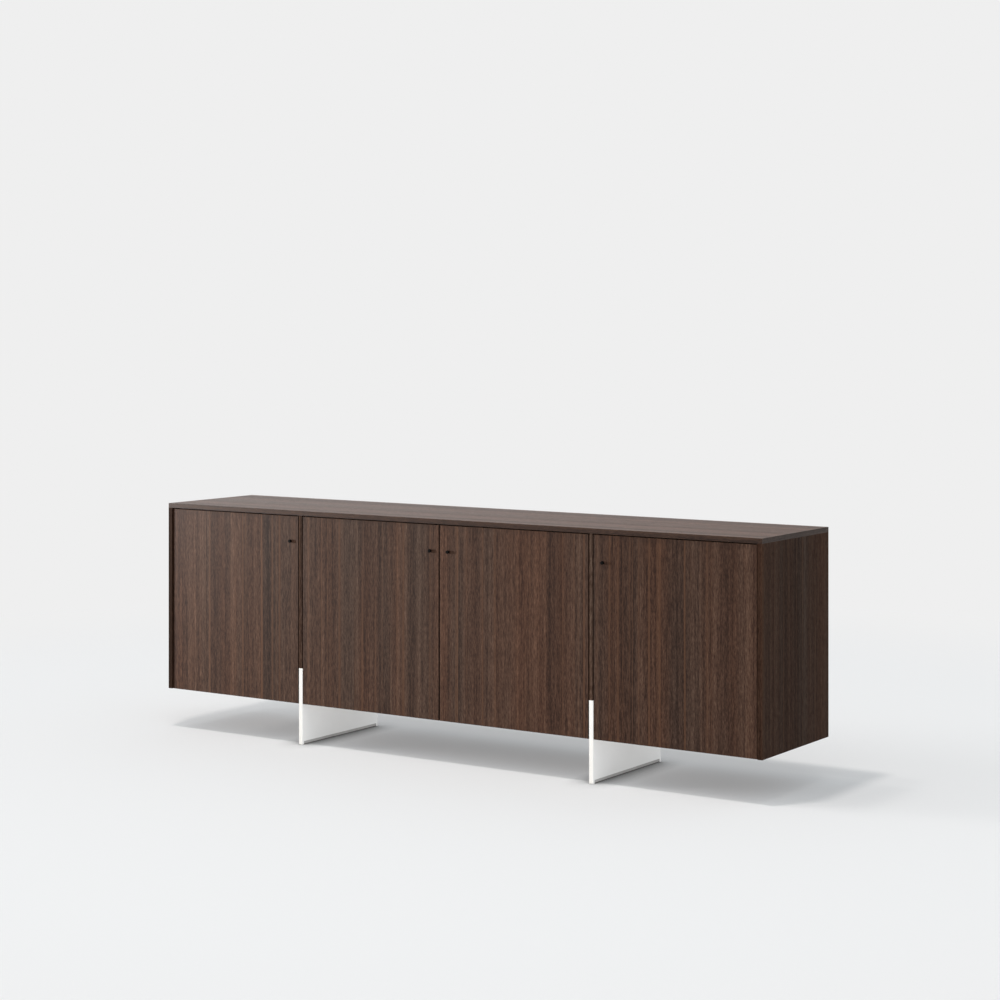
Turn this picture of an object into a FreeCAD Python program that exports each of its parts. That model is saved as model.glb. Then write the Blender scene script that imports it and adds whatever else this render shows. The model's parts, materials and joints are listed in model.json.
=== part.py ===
import FreeCAD, Part
import math
import os
from types import SimpleNamespace

import Sketcher
from FreeCAD import Placement, Rotation, Vector

# A long low sideboard. A veneered case of top, sides, partitions, bottom and back stands on two upright
# plates. Four flat doors close the front, each on two concealed hinges. Lengths are in millimetres.
# The origin is on the floor below the middle of the whole piece, +X to the right, +Y to the back, +Z up.

SIZES = {
    # case
    "width": 2200,
    "depth": 425,
    "body_height": 615,
    "leg_height": 130,
    "top_thickness": 15,
    "side_thickness": 15,
    "bottom_thickness": 15,
    "partition_thickness": 11,
    "back_thickness": 8,
    # doors
    "door_thickness": 20,
    "door_setback": 4,
    "door_gap": 3,
    "door_edge": 1,
    "buffer_height": 2,
    "buffer_diameter": 8,
    "buffer_inset": 60,
    # knobs
    "knob_diameter": 10,
    "knob_length": 8,
    "knob_neck": 8,
    "knob_neck_length": 2,
    "knob_edge": 0.6,
    "knob_drop": 80.5,
    "knob_inset": 32,
    # leg plates
    "plate_thickness": 14,
    "plate_edge": 1.2,
    "plate_rise": 113,
    "plate_back_inset": 21,
    "horn_depth": 45,
    "horn_fit": 0.2,
    "glide_height": 10.5,
    "glide_end": 9,
    "glide_foot": 0.5,
    "flange_width": 74,
    "flange_depth": 60,
    "flange_thickness": 5,
    "flange_front": 95,
    "flange_pitch": 215,
    # shelves
    "shelf_thickness": 18,
    "shelf_level": 0.46,
    "shelf_front": 40,
    "shelf_play": 1,
    "shelf_pin_diameter": 5,
    "shelf_pin_length": 16,
    "shelf_pin_seat": 5,
    "shelf_pin_margin": 45,
    # hinges, measured from the pivot
    "pivot_inset": 20,
    "pivot_depth": 7.5,
    "hinge_low": 170,
    "hinge_high": 95,
    "pin_diameter": 2.5,
    "pin_play": 0.1,
    "cup_inset": 22.5,
    "cup_radius": 17.5,
    "cup_wall": 0.8,
    "cup_floor": 2.9,
    "cup_fit": 0.1,
    "cup_rim": 20.5,
    "cup_flange": 1,
    "cup_wing_shift": 6,
    "cup_wing_width": 11,
    "cup_wing_reach": 30,
    "cup_screw_pitch": 48,
    "arm_thickness": 2.2,
    "arm_height": 10,
    "arm_reach": 15.5,
    "arm_swing": 24,
    "arm_tail": 76,
    "arm_eye": 2.6,
    "arm_bend": 0.8,
    "mount_thickness": 4,
    "mount_height": 12,
    "mount_length": 46,
    "mount_wing_depth": 14,
    "mount_wing_reach": 25,
    "mount_screw_pitch": 32,
    # fasteners
    "dowel_diameter": 8,
    "dowel_length": 30,
    "dowel_in_face": 10,
    "slim_dowel_diameter": 6,
    "slim_dowel_length": 24,
    "slim_dowel_in_face": 8,
    "dowel_margin": 55,
    "screw_diameter": 3.5,
    "screw_length": 10,
    "screw_head": 7,
    "screw_head_height": 2,
    "bolt_diameter": 4,
    "bolt_length": 6,
    "knob_screw_length": 24,
    "leg_screw_diameter": 5,
    "leg_screw_length": 14,
    "leg_screw_pitch_x": 52,
    "leg_screw_head": 9,
    "leg_screw_head_height": 2.5,
    "back_screw_length": 28,
    "back_screw_margin": 60,
}
DOOR_COUNT = 4
GAPS_ACROSS = 7
DOWELS_PER_JOINT = 3
BACK_SCREWS_PER_PARTITION = 3
BACK_SCREWS_PER_BAY = 2
HALF_TURN = 180
FULL_TURN = 360
ROD_FLATS = 6
EYE_FLATS = 8
CUP_FLATS = 16
TOUCH = 0.01


class Size:
    """A length that knows the sheet formula it comes from."""

    def __init__(self, value, formula):
        self.value = value
        self.formula = formula

    def joined(self, sign, other, value):
        return Size(value, f"({self.formula} {sign} {other.formula})")

    def __add__(self, other):
        other = as_size(other)
        return self.joined("+", other, self.value + other.value)

    def __sub__(self, other):
        other = as_size(other)
        return self.joined("-", other, self.value - other.value)

    def __mul__(self, other):
        other = as_size(other)
        return self.joined("*", other, self.value * other.value)

    def __truediv__(self, other):
        other = as_size(other)
        return self.joined("/", other, self.value / other.value)

    def __neg__(self):
        return Size(-self.value, f"(0 - {self.formula})")

    def __rmul__(self, other):
        return as_size(other) * self


def as_size(number):
    return number if isinstance(number, Size) else Size(number, f"{number}")


doc = FreeCAD.newDocument("Sideboard")
sheet = doc.addObject("Spreadsheet::Sheet", "Sizes")
for row, (alias, number) in enumerate(SIZES.items(), start=1):
    sheet.set(f"A{row}", alias.replace("_", " "))
    sheet.set(f"B{row}", str(number))
    sheet.setAlias(f"B{row}", alias)
doc.recompute()
s = SimpleNamespace(**{alias: Size(float(sheet.get(alias)), f"Sizes.{alias}") for alias in SIZES})
ZERO = as_size(0)

# Main planes of the case, worked out from the driving sizes.
front = (s.knob_length - s.door_setback - s.depth) / 2
back = front + s.depth
panel_back = back - s.back_thickness
underside = s.leg_height
deck = underside + s.bottom_thickness
top_under = underside + s.body_height - s.top_thickness
inner_half = s.width / 2 - s.side_thickness
door_front = front + s.door_setback
door_back = door_front + s.door_thickness
door_width = (2 * inner_half - GAPS_ACROSS * s.door_gap - 2 * s.partition_thickness) / DOOR_COUNT
door_height = top_under - s.door_gap - underside
door_top = underside + door_height
partition_half = s.partition_thickness / 2
partition_x = s.door_gap / 2 + door_width + s.door_gap + partition_half
bottom_front = door_back + s.buffer_height
horn_back = door_front + s.horn_depth
plate_top = underside + s.plate_rise
plate_back = back - s.plate_back_inset
pivot_y = door_front + s.pivot_depth
swing_back = pivot_y + s.arm_swing
hinge_heights = {"lower": underside + s.hinge_low, "upper": door_top - s.hinge_high}
shelf_base = deck + (top_under - deck) * s.shelf_level

# Each door: its left edge and the side that carries its hinges (-1 left, +1 right).
DOORS = {
    "left_outer": (s.door_gap - inner_half, -1),
    "left_inner": (-(s.door_gap / 2 + door_width), -1),
    "right_inner": (s.door_gap / 2, 1),
    "right_outer": (inner_half - s.door_gap - door_width, 1),
}
# Each compartment: its left and right walls.
BAYS = {
    "left": (-inner_half, -(partition_x + partition_half)),
    "centre": (partition_half - partition_x, partition_x - partition_half),
    "right": (partition_x + partition_half, inner_half),
}
nodes = {}


def bind(thing, **sizes):
    for name, size in sizes.items():
        thing.setExpression(name, as_size(size).formula)


def place(thing, x, y, z, turn=Rotation()):
    """Puts a piece at a point, turned as given."""
    thing.Placement = Placement(Vector(0, 0, 0), turn)
    for axis, size in zip("xyz", (x, y, z)):
        thing.setExpression(f"Placement.Base.{axis}", as_size(size).formula)


def keep(thing, label):
    thing.Label = label
    nodes[label] = thing
    return thing


def box(name, low, high):
    """A rectangular block between two corners."""
    block = doc.addObject("Part::Box", name)
    bind(block, Length=high[0] - low[0], Width=high[1] - low[1], Height=high[2] - low[2])
    place(block, *low)
    return block


def cut(name, base, *tools):
    for tool in tools:
        result = doc.addObject("Part::Cut", name)
        result.Base = base
        result.Tool = tool
        base = result
    return base


def sketch(body, name, role):
    drawing = body.newObject("Sketcher::SketchObject", name)
    plane = next(feature for feature in body.Origin.OriginFeatures if feature.Role == role)
    drawing.AttachmentSupport = [(plane, "")]
    drawing.MapMode = "FlatFace"
    return drawing


def pin_point(drawing, edge, end, x, y):
    """Ties one point of a drawing to its two sizes."""
    for kind, axis, size in (("DistanceX", -2, x), ("DistanceY", -1, y)):
        if size is ZERO:
            drawing.addConstraint(Sketcher.Constraint("PointOnObject", edge, end, axis))
        else:
            number = drawing.addConstraint(Sketcher.Constraint(kind, -1, 1, edge, end, size.value))
            drawing.setExpression(f"Constraints[{number}]", size.formula)


def outline(drawing, points):
    """A closed outline of straight lines."""
    first = drawing.GeometryCount
    count = len(points)
    spots = [Vector(x.value, y.value, 0) for x, y in points]
    for index, spot in enumerate(spots):
        drawing.addGeometry(Part.LineSegment(spot, spots[(index + 1) % count]), False)
    for index in range(count):
        following = first + (index + 1) % count
        drawing.addConstraint(Sketcher.Constraint("Coincident", first + index, 2, following, 1))
    for index, (x, y) in enumerate(points):
        pin_point(drawing, first + index, 1, x, y)


def rectangle(drawing, low, high):
    outline(drawing, [low, (high[0], low[1]), high, (low[0], high[1])])


def circle(drawing, x, y, radius):
    spot = Vector(x.value, y.value, 0)
    edge = drawing.addGeometry(Part.Circle(spot, Vector(0, 0, 1), radius.value), False)
    pin_point(drawing, edge, 3, x, y)
    number = drawing.addConstraint(Sketcher.Constraint("Radius", edge, radius.value))
    drawing.setExpression(f"Constraints[{number}]", radius.formula)


def corner_turns(flats):
    """Angles of the corners of a ring of flats, with a flat square to each main direction."""
    return [FULL_TURN / flats * (number + 0.5) for number in range(flats)]


def corner_reach(radius, flats):
    return radius * (1 / math.cos(math.radians(FULL_TURN / flats / 2)))


def ring(drawing, radius, flats):
    """A closed ring of equal flats round the middle, for small round parts that repeat."""
    reach = corner_reach(radius, flats)
    turns = [math.radians(turn) for turn in corner_turns(flats)]
    outline(drawing, [(reach * math.cos(turn), reach * math.sin(turn)) for turn in turns])


def pad(body, drawing, length, reverse=False, middle=False):
    feature = body.newObject("PartDesign::Pad", "Pad")
    feature.Profile = drawing
    feature.Reversed = reverse
    feature.SideType = "Symmetric" if middle else "One side"
    bind(feature, Length=length)
    drawing.Visibility = False
    return feature


def pocket(body, drawing, length=None, reverse=False):
    """Cuts a drawing to a depth, or right through both ways where no depth is given."""
    doc.recompute([body])
    before = body.Shape.Volume
    feature = body.newObject("PartDesign::Pocket", "Pocket")
    feature.Profile = drawing
    feature.Reversed = reverse
    if length is None:
        feature.Type = "ThroughAll"
        feature.SideType = "Symmetric"
    else:
        bind(feature, Length=length)
    doc.recompute([body])
    if body.Shape.Volume >= before:
        raise ValueError(f"{body.Label}: a pocket removed nothing")
    return feature


def edges_where(shape, test):
    return [f"Edge{number}" for number, edge in enumerate(shape.Edges, start=1) if test(edge)]


def upright_at(x, y):
    """Picks the upright edges that stand at a point of the plan."""
    def test(edge):
        span = edge.BoundBox
        here = abs(span.Center.x - x.value) < TOUCH and abs(span.Center.y - y.value) < TOUCH
        return here and span.ZLength > max(span.XLength, span.YLength)
    return test


def dress(body, kind, names, **sizes):
    dressed = body.Tip
    feature = body.newObject(kind, "Dress")
    feature.Base = (dressed, names)
    bind(feature, **sizes)
    doc.recompute([body])
    return feature


def group(label, shape, places):
    """Like pieces that share one node, each a separate solid at its own place."""
    copies = []
    for spot in places:
        copy = shape.copy()
        copy.Placement = spot
        copies.append(copy)
    feature = doc.addObject("Part::Feature", label)
    feature.Shape = Part.makeCompound(copies)
    feature.Placement = Placement()
    return feature


def spot(x, y, z, axis=Vector(0, 0, 1)):
    return Placement(Vector(x.value, y.value, z.value), Rotation(Vector(0, 0, 1), axis))


def rod(diameter, length, start=0):
    """A slim rod along +Z. There are many of them, so each is drawn with a few flats."""
    corner = Vector(corner_reach(diameter.value / 2, ROD_FLATS), 0, start)
    corners = [Rotation(Vector(0, 0, 1), turn).multVec(corner) for turn in corner_turns(ROD_FLATS)]
    rim = Part.makePolygon(corners + corners[:1])
    return Part.Face(rim).extrude(Vector(0, 0, length.value))


def headed_screw(diameter, length, head, head_height):
    """A screw along +Z: its shank from the seat upwards, its head below the seat."""
    shank = rod(diameter, length)
    cap = rod(head, head_height, -head_height.value)
    return shank.fuse(cap).removeSplitter()


def spread(low, high, count):
    return [low + (high - low) * (index / (count - 1)) for index in range(count)]


# Dowels: three between each side and the top, three between each side and the bottom, and slimmer ones
# at the head and foot of each partition.
LEFTWARD = Vector(-1, 0, 0)
RIGHTWARD = Vector(1, 0, 0)
dowel_rows = spread(bottom_front + s.dowel_margin, panel_back - s.dowel_margin, DOWELS_PER_JOINT)
slim_rows = dowel_rows[1:]
side_middle = s.width / 2 - s.side_thickness / 2
top_dowels = group("TopDowels", rod(s.dowel_diameter, s.dowel_length), [
    spot(side * side_middle, y, top_under + s.dowel_in_face - s.dowel_length)
    for side in (-1, 1) for y in dowel_rows])
bottom_dowels = group("BottomDowels", rod(s.dowel_diameter, s.dowel_length), [
    spot(side * (inner_half + s.dowel_in_face), y, underside + s.bottom_thickness / 2, inward)
    for side, inward in ((-1, RIGHTWARD), (1, LEFTWARD)) for y in dowel_rows])
slim_dowel = rod(s.slim_dowel_diameter, s.slim_dowel_length)
slim_bases = (top_under + s.slim_dowel_in_face - s.slim_dowel_length, deck - s.slim_dowel_in_face)
partition_dowels = group("PartitionDowels", slim_dowel, [
    spot(side * partition_x, y, base) for side in (-1, 1) for y in slim_rows for base in slim_bases])
carcass_dowels = doc.addObject("Part::Compound", "carcass_dowels")
carcass_dowels.Links = [top_dowels, bottom_dowels, partition_dowels]
keep(carcass_dowels, "carcass_dowels")

# Shelf pins: four under each shelf, two in each wall of its compartment.
shelf_low = door_back + s.shelf_front
shelf_high = panel_back - s.shelf_play
pin_rows = (shelf_low + s.shelf_pin_margin, shelf_high - s.shelf_pin_margin)
pin_height = shelf_base - s.shelf_pin_diameter / 2
shelf_pins = keep(group("shelf_pins", rod(s.shelf_pin_diameter, s.shelf_pin_length), [
    spot(wall, y, pin_height, inward)
    for left, right in BAYS.values()
    for wall, inward in ((left - s.shelf_pin_seat, RIGHTWARD), (right + s.shelf_pin_seat, LEFTWARD))
    for y in pin_rows]), "shelf_pins")

# Screws of the hinges' mounting plates, two to a plate, into the side or partition beside the door.
mount_wing_y = swing_back + s.mount_length / 2
pivots = {}
for door, (edge, side) in DOORS.items():
    hinge_edge = edge if side < 0 else edge + door_width
    pivots[door] = hinge_edge - side * s.pivot_inset
screw = headed_screw(s.screw_diameter, s.screw_length, s.screw_head, s.screw_head_height)
mount_spots = []
for door, (edge, side) in DOORS.items():
    wall_face = pivots[door] + side * (s.pivot_inset + s.door_gap)
    outward = RIGHTWARD if side > 0 else LEFTWARD
    for height in hinge_heights.values():
        for step in (-0.5, 0.5):
            seat_x = wall_face - side * s.mount_thickness / 2
            mount_spots.append(spot(seat_x, mount_wing_y, height + step * s.mount_screw_pitch, outward))
mount_screws = keep(group("hinge_plate_screws", screw, mount_spots), "hinge_plate_screws")

# Screws of the leg flanges, driven up into the bottom panel.
flange_rows = [front + s.flange_front + s.flange_pitch * step + s.flange_depth / 2 for step in (0, 1)]
leg_screw = headed_screw(
    s.leg_screw_diameter, s.leg_screw_length, s.leg_screw_head, s.leg_screw_head_height)
leg_screws = keep(group("leg_screws", leg_screw, [
    spot(side * partition_x + step * s.leg_screw_pitch_x, y, underside)
    for side in (-1, 1) for y in flange_rows for step in (-0.5, 0.5)]), "leg_screws")

# Back panel screws, into the partitions' rear edges and along the bottom panel's rear edge.
back_screw = headed_screw(s.screw_diameter, s.back_screw_length, s.screw_head, s.screw_head_height)
FORWARD = Vector(0, -1, 0)
back_seat = back - s.screw_head_height
back_spots = [
    spot(side * partition_x, back_seat, z, FORWARD) for side in (-1, 1)
    for z in spread(deck + s.back_screw_margin, top_under - s.back_screw_margin, BACK_SCREWS_PER_PARTITION)]
for left, right in BAYS.values():
    for x in spread(left + s.back_screw_margin, right - s.back_screw_margin, BACK_SCREWS_PER_BAY):
        back_spots.append(spot(x, back_seat, underside + s.bottom_thickness / 2, FORWARD))
back_screws = keep(group("back_panel_screws", back_screw, back_spots), "back_panel_screws")

# Top: one panel over both sides and in front of the doors.
top = box("TopBlank", (-s.width / 2, front, top_under), (s.width / 2, back, top_under + s.top_thickness))
keep(cut("TopPanel", top, carcass_dowels), "top_panel")

# Sides: full height from the underside to the top.
for label, low_x, high_x in (
        ("left_side_panel", -s.width / 2, -inner_half), ("right_side_panel", inner_half, s.width / 2)):
    side_blank = box("SideBlank", (low_x, front, underside), (high_x, back, top_under))
    keep(cut("SidePanel", side_blank, carcass_dowels, shelf_pins, mount_screws), label)

# Bottom: between the sides, behind the doors. Its front corners are notched where a door's hinge edge
# swings in, it is slotted for the legs' horns, and the legs' flanges lie in recesses in its underside.
bottom = box("BottomBlank", (-inner_half, bottom_front, underside), (inner_half, panel_back, deck))
notch_span = s.pivot_inset + s.door_gap + s.arm_reach
relief = []
for door, (edge, side) in DOORS.items():
    wall_face = pivots[door] + side * (s.pivot_inset + s.door_gap)
    ends = (wall_face, wall_face + notch_span) if side < 0 else (wall_face - notch_span, wall_face)
    relief.append(box("SwingNotch", (ends[0], door_front, ZERO), (ends[1], swing_back, deck + s.horn_depth)))
horn_half = s.plate_thickness / 2 + s.horn_fit
flange_half = s.flange_width / 2 + s.horn_fit
for side in (-1, 1):
    centre = side * partition_x
    relief.append(box("HornSlot", (centre - horn_half, door_front, ZERO),
                      (centre + horn_half, horn_back + s.horn_fit, deck + s.horn_depth)))
    for y in flange_rows:
        reach = s.flange_depth / 2 + s.horn_fit
        relief.append(box("FlangeRecess", (centre - flange_half, y - reach, ZERO),
                          (centre + flange_half, y + reach, underside + s.flange_thickness)))
keep(cut("BottomPanel", bottom, *relief, carcass_dowels, leg_screws, back_screws), "bottom_panel")

# Partitions: their front edges show between the doors, and the lower front corner makes way for the horn.
for label, side in (("left_partition", -1), ("right_partition", 1)):
    centre = side * partition_x
    partition_blank = box("PartitionBlank", (centre - partition_half, door_front, deck),
                          (centre + partition_half, panel_back, top_under))
    horn_notch = box("HornNotch", (centre - s.plate_thickness, front, underside),
                     (centre + s.plate_thickness, horn_back + s.horn_fit, plate_top + s.horn_fit))
    keep(cut("Partition", partition_blank, horn_notch, carcass_dowels, shelf_pins, mount_screws, back_screws),
         label)

# Back: one panel between the sides, over the rear edges of the bottom and the partitions.
back_blank = box("BackBlank", (-inner_half, panel_back, underside), (inner_half, back, top_under))
keep(cut("BackPanel", back_blank, back_screws), "back_panel")

# Shelves: one in each compartment, resting on its four pins.
for bay, (left, right) in BAYS.items():
    keep(box("Shelf", (left + s.shelf_play, shelf_low, shelf_base),
             (right - s.shelf_play, shelf_high, shelf_base + s.shelf_thickness)), f"{bay}_shelf")

# Leg plates: an upright plate under the whole depth, with a horn at its front that rises between the doors,
# a long rebate in its foot for the glide, and two welded flanges under the bottom panel.
glide_front = door_front + s.glide_end
glide_back = plate_back - s.glide_end


def on_show(edge):
    """Picks the long edges of a leg plate that meet the eye: its front, its back and the horn's end."""
    span = edge.BoundBox
    lengthwise = span.XLength < TOUCH
    at_front = abs(span.YMin - door_front.value) < TOUCH and span.YLength < TOUCH
    at_back = abs(span.YMin - plate_back.value) < TOUCH and span.YLength < TOUCH
    at_top = abs(span.ZMin - plate_top.value) < TOUCH
    return lengthwise and (at_front or at_back or at_top)


for label, side in (("left_leg_plate", -1), ("right_leg_plate", 1)):
    leg = doc.addObject("PartDesign::Body", label)
    profile = sketch(leg, "LegProfile", "YZ_Plane")
    outline(profile, [
        (door_front, s.glide_foot), (glide_front, s.glide_foot), (glide_front, s.glide_height),
        (glide_back, s.glide_height), (glide_back, s.glide_foot), (plate_back, s.glide_foot),
        (plate_back, underside), (horn_back, underside), (horn_back, plate_top), (door_front, plate_top)])
    pad(leg, profile, s.plate_thickness, middle=True)
    doc.recompute([leg])
    dress(leg, "PartDesign::Chamfer", edges_where(leg.Shape, on_show), Size=s.plate_edge)
    for y in flange_rows:
        seat = sketch(leg, "FlangeOutline", "XY_Plane")
        seat.AttachmentOffset = Placement(Vector(0, 0, underside.value), Rotation())
        seat.setExpression("AttachmentOffset.Base.z", underside.formula)
        rectangle(seat, (-s.flange_width / 2, y - s.flange_depth / 2),
                  (s.flange_width / 2, y + s.flange_depth / 2))
        pad(leg, seat, s.flange_thickness)
    place(leg, side * partition_x, ZERO, ZERO)
    keep(cut("LegPlate", leg, leg_screws), label)

# Glide strips: a soft grey strip let into the foot of each plate, which stands on the floor.
for label, side in (("left_glide_strip", -1), ("right_glide_strip", 1)):
    centre = side * partition_x
    keep(box("GlideStrip", (centre - s.plate_thickness / 2, glide_front, ZERO),
             (centre + s.plate_thickness / 2, glide_back, s.glide_height)), label)

# Doors with their knobs and hinges.
cup_depth = s.door_thickness - s.pivot_depth + s.cup_floor + s.cup_wall
cup_shift = s.cup_inset - s.pivot_inset
pin_length = 2 * s.cup_radius - s.cup_wall
wing_half = s.cup_wing_width / 2
mount_face = s.mount_thickness - s.pivot_inset - s.door_gap
arm_bolts = []
buffer_spots = []
mounts = []


def hinge_cup(name):
    """The round cup let into the door's back: a pressed shell with a rim, two wings and stamped pin holes."""
    cup = doc.addObject("PartDesign::Body", name)
    for radius, length, outward in (
            (s.cup_radius, cup_depth, False), (s.cup_rim, s.cup_flange, True)):
        wall = sketch(cup, "CupWall", "XZ_Plane")
        ring(wall, radius, CUP_FLATS)
        pad(cup, wall, length, reverse=outward)
    for way in (-1, 1):
        wing = sketch(cup, "WingOutline", "XZ_Plane")
        ends = sorted((way * s.cup_radius, way * s.cup_wing_reach), key=lambda end: end.value)
        rectangle(wing, (s.cup_wing_shift - wing_half, ends[0]), (s.cup_wing_shift + wing_half, ends[1]))
        pad(cup, wing, s.cup_flange, reverse=True)
    hollow = sketch(cup, "CupHollow", "XZ_Plane")
    ring(hollow, s.cup_radius - s.cup_wall, CUP_FLATS)
    pocket(cup, hollow, s.cup_flange)
    pocket(cup, hollow, cup_depth - s.cup_wall, reverse=True)
    pin_hole = sketch(cup, "PinHole", "XY_Plane")
    pin_depth = s.pivot_depth - s.door_thickness
    pin_half = s.pin_diameter / 2
    rectangle(pin_hole, (-cup_shift - pin_half, pin_depth - pin_half),
              (pin_half - cup_shift, pin_depth + pin_half))
    pocket(cup, pin_hole)
    return cup


def hinge_arm(name):
    """The cranked arm: an eye round the pin, a neck out of the cup, and a tail on the mounting plate."""
    arm = doc.addObject("PartDesign::Body", name)
    half = s.arm_thickness / 2
    reach = s.arm_reach + s.arm_thickness
    swing = s.arm_swing + s.arm_thickness
    tail_face = mount_face + s.arm_thickness
    strip = sketch(arm, "ArmStrip", "XY_Plane")
    outline(strip, [
        (ZERO, -half), (reach, -half), (reach, swing), (tail_face, swing), (tail_face, s.arm_tail),
        (mount_face, s.arm_tail), (mount_face, s.arm_swing), (s.arm_reach, s.arm_swing), (s.arm_reach, half),
        (ZERO, half)])
    pad(arm, strip, s.arm_height, middle=True)
    doc.recompute([arm])
    outer = [(reach, -half), (reach, swing), (mount_face, s.arm_swing)]
    inner = [(s.arm_reach, half), (s.arm_reach, s.arm_swing), (tail_face, swing)]
    for corners, size in ((outer, s.arm_bend + half), (inner, s.arm_bend)):
        names = [name for corner in corners for name in edges_where(arm.Shape, upright_at(*corner))]
        dress(arm, "PartDesign::Chamfer", names, Size=size)
    eye = sketch(arm, "ArmEye", "XY_Plane")
    ring(eye, s.arm_eye, EYE_FLATS)
    pad(arm, eye, s.arm_height, middle=True)
    bore = sketch(arm, "PinBore", "XY_Plane")
    circle(bore, ZERO, ZERO, s.pin_diameter / 2 + s.pin_play)
    pocket(arm, bore)
    return arm


def mounting_plate(name):
    """The cross-shaped plate on the case wall that the arm is screwed to."""
    plate = doc.addObject("PartDesign::Body", name)
    rail = sketch(plate, "RailOutline", "YZ_Plane")
    start = s.arm_swing + s.arm_bend
    rectangle(rail, (start, -s.mount_height / 2), (start + s.mount_length, s.mount_height / 2))
    pad(plate, rail, s.mount_thickness)
    wings = sketch(plate, "WingOutline", "YZ_Plane")
    middle = s.arm_swing + s.mount_length / 2
    rectangle(wings, (middle - s.mount_wing_depth / 2, -s.mount_wing_reach),
              (middle + s.mount_wing_depth / 2, s.mount_wing_reach))
    pad(plate, wings, s.mount_thickness / 2)
    return plate


def door_panel(name):
    """A flat veneered panel with eased edges."""
    panel = doc.addObject("PartDesign::Body", name)
    face = sketch(panel, "DoorFace", "XZ_Plane")
    rectangle(face, (ZERO, ZERO), (door_width, door_height))
    pad(panel, face, s.door_thickness, reverse=True)
    doc.recompute([panel])
    around = edges_where(panel.Shape, lambda edge: edge.BoundBox.YLength < s.door_edge.value)
    dress(panel, "PartDesign::Chamfer", around, Size=s.door_edge)
    return panel


def knob_turning(name):
    """A small turned knob: a slim neck on the door, a plain head with a broken edge, bored for its screw."""
    knob = doc.addObject("PartDesign::Body", name)
    radius = s.knob_diameter / 2
    half_turning = sketch(knob, "KnobProfile", "XY_Plane")
    outline(half_turning, [
        (ZERO, -s.knob_length), (radius - s.knob_edge, -s.knob_length), (radius, s.knob_edge - s.knob_length),
        (radius, -s.knob_neck_length), (s.knob_neck / 2, -s.knob_neck_length), (s.knob_neck / 2, ZERO),
        (ZERO, ZERO)])
    turned = knob.newObject("PartDesign::Revolution", "Turned")
    turned.Profile = half_turning
    turned.ReferenceAxis = (half_turning, ["V_Axis"])
    turned.Angle = FULL_TURN
    return knob


for door, (edge, side) in DOORS.items():
    right_hand = side > 0
    handed = Rotation(Vector(0, 1, 0), HALF_TURN) if right_hand else Rotation()
    hinge_edge = edge + door_width if right_hand else edge
    free_edge = edge if right_hand else edge + door_width
    cup_x = hinge_edge - side * s.cup_inset
    knob_x = free_edge + side * s.knob_inset
    knob_z = door_top - s.knob_drop

    knob_screw = group("KnobScrew", headed_screw(
        s.bolt_diameter, s.knob_screw_length, s.screw_head, s.screw_head_height),
        [spot(knob_x, door_back, knob_z, FORWARD)])
    keep(knob_screw, f"{door}_knob_screw")

    cups = {}
    cup_screw_spots = []
    bores = []
    for height_name, height in hinge_heights.items():
        cup = hinge_cup("HingeCup")
        place(cup, cup_x, door_back, height, handed)
        cups[f"{door}_{height_name}_hinge_cup"] = cup
        bore = doc.addObject("Part::Prism", "CupBore")
        bore.Polygon = CUP_FLATS
        bind(bore, Circumradius=corner_reach(s.cup_radius + s.cup_fit, CUP_FLATS), Height=cup_depth)
        aligned = Rotation(Vector(0, 0, 1), corner_turns(CUP_FLATS)[0])
        place(bore, cup_x, door_back, height, Rotation(Vector(0, 0, 1), FORWARD) * aligned)
        bores.append(bore)
        for way in (-0.5, 0.5):
            seat_x = cup_x - side * s.cup_wing_shift
            cup_screw_spots.append(
                spot(seat_x, door_back + s.cup_flange, height + way * s.cup_screw_pitch, FORWARD))

        arm = hinge_arm("HingeArm")
        place(arm, pivots[door], pivot_y, height, handed)
        bolt_y = pivot_y + s.arm_tail - s.mount_height / 2 - s.arm_thickness
        bolt_face = pivots[door] + side * (-mount_face - s.arm_thickness)
        bolt = group("ArmBolt", headed_screw(
            s.bolt_diameter, s.bolt_length, s.screw_head, s.screw_head_height),
            [spot(bolt_face, bolt_y, height, RIGHTWARD if right_hand else LEFTWARD)])
        arm_bolts.append(bolt)
        keep(cut("DrilledArm", arm, bolt), f"{door}_{height_name}_hinge_arm")
        plate = mounting_plate("MountingPlate")
        place(plate, pivots[door] + side * (s.pivot_inset + s.door_gap), pivot_y, height, handed)
        mounts.append(cut("DrilledPlate", plate, bolt, mount_screws))

    cup_screws = keep(group(f"{door}_cup_screws", screw, cup_screw_spots), f"{door}_cup_screws")
    for label, cup in cups.items():
        keep(cut("DrilledCup", cup, cup_screws), label)
    pin = Part.makeCylinder(s.pin_diameter.value / 2, pin_length.value)
    keep(group(f"{door}_hinge_pins", pin, [
        spot(pivots[door], pivot_y, height - pin_length / 2) for height in hinge_heights.values()]),
        f"{door}_hinge_pins")

    panel = door_panel("DoorPanel")
    place(panel, edge, door_front, underside)
    keep(cut("Door", panel, *bores, cup_screws, knob_screw), f"{door}_door")

    knob = knob_turning("Knob")
    place(knob, knob_x, door_front, knob_z)
    keep(cut("BoredKnob", knob, knob_screw), f"{door}_knob")
    buffer_spots.append(spot(free_edge + side * s.buffer_inset, bottom_front,
                             underside + s.bottom_thickness / 2, FORWARD))

for label, members in (("hinge_mounting_plates", mounts), ("hinge_arm_screws", arm_bolts)):
    gathered = doc.addObject("Part::Compound", label)
    gathered.Links = members
    keep(gathered, label)

# Buffers: soft discs on the bottom panel's front edge that the doors close against.
keep(group("door_buffers", rod(s.buffer_diameter, s.buffer_height), buffer_spots), "door_buffers")

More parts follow.
